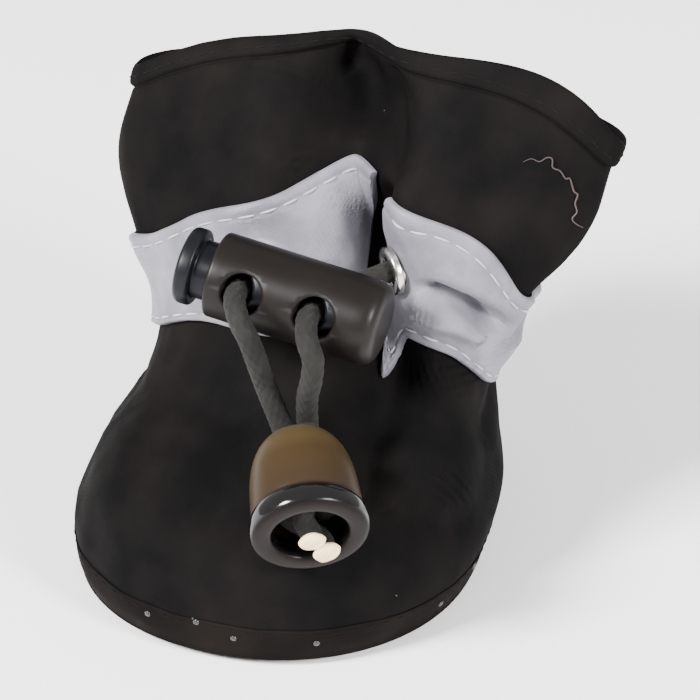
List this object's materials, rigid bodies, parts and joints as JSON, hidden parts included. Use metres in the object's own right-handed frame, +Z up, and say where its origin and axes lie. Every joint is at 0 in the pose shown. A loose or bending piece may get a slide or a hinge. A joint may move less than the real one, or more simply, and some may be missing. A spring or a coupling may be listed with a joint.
{
  "type": "dog boot",
  "caption": "Soft drawcord boot for a dog's paw: round toe bag, flared shaft, reflective ankle band, sprung cord lock and a bell over the cord's knot.",
  "frame": {"origin": "the floor, under the middle of the sole's length", "axes": "+Z up, -Y towards the toe, +X towards the wearer's left"},
  "size_m": [0.0626, 0.0682, 0.0633],
  "materials": {
    "black_cloth": "matte",
    "sole_cloth": "matte",
    "lining_cloth": "matte",
    "silver_tape": "satin",
    "bright_steel": "polished",
    "black_plastic": "gloss",
    "smoke_plastic": "gloss",
    "black_elastic": "matte"
  },
  "bodies": {
    "boot": {"outsole": "sole_cloth", "insole": "lining_cloth", "upper": "black_cloth", "ankle_band": "silver_tape", "eyelet_left": "bright_steel", "eyelet_right": "bright_steel", "lock_barrel": "black_plastic", "cord_left": "black_elastic", "cord_right": "black_elastic", "cord_knot": "black_elastic", "cord_bell": "smoke_plastic"},
    "lock_button": {"lock_button": "black_plastic"}
  },
  "joints": [
    {"name": "lock_press", "type": "slide", "parent": "boot", "child": "lock_button", "axis": [0.989, 0, -0.1478], "range_m": [0, 0.0015], "stiffness_N_per_m": 400, "springref_m": -0.004}
  ]
}
